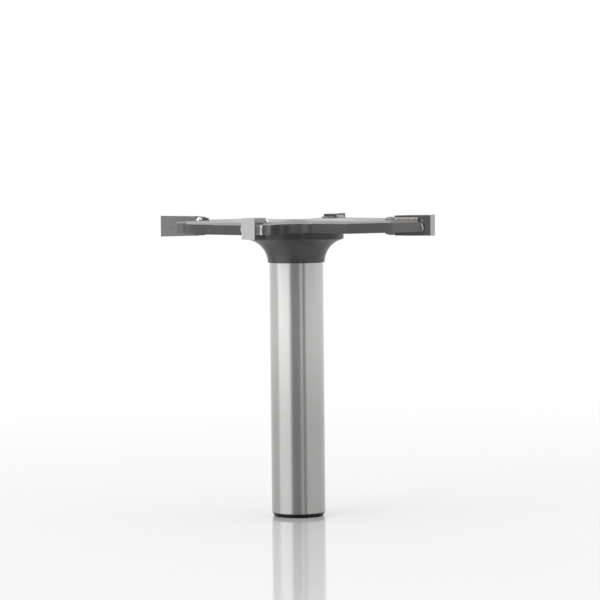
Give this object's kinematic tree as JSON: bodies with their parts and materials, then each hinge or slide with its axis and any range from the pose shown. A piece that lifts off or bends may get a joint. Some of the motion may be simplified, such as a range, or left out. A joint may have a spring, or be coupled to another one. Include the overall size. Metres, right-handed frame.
{
  "type": "t slot cutter",
  "caption": "Shank-mounted slot cutter: a ground round shank flares into a blackened armed plate with brazed carbide tips, for cutting T slots and grooves with a router.",
  "frame": {"origin": "centre of the shank's end face, on which the cutter stands", "axes": "+Z along the cutter's axis towards the cutting head, -Y towards the viewer of the picture, +X to the viewer's right"},
  "size_m": [0.0408, 0.0408, 0.0449],
  "materials": {
    "body_steel": "ground bright on the shank and the top, blackened on the neck and the walls",
    "carbide": "finely ground grey",
    "braze": "silver solder, dulled by heat"
  },
  "bodies": {
    "root": {"tool_body": "body_steel", "carbide_tip_1": "carbide", "carbide_tip_2": "carbide", "carbide_tip_3": "carbide", "carbide_tip_4": "carbide", "braze_1": "braze", "braze_2": "braze", "braze_3": "braze", "braze_4": "braze"}
  },
  "joints": []
}
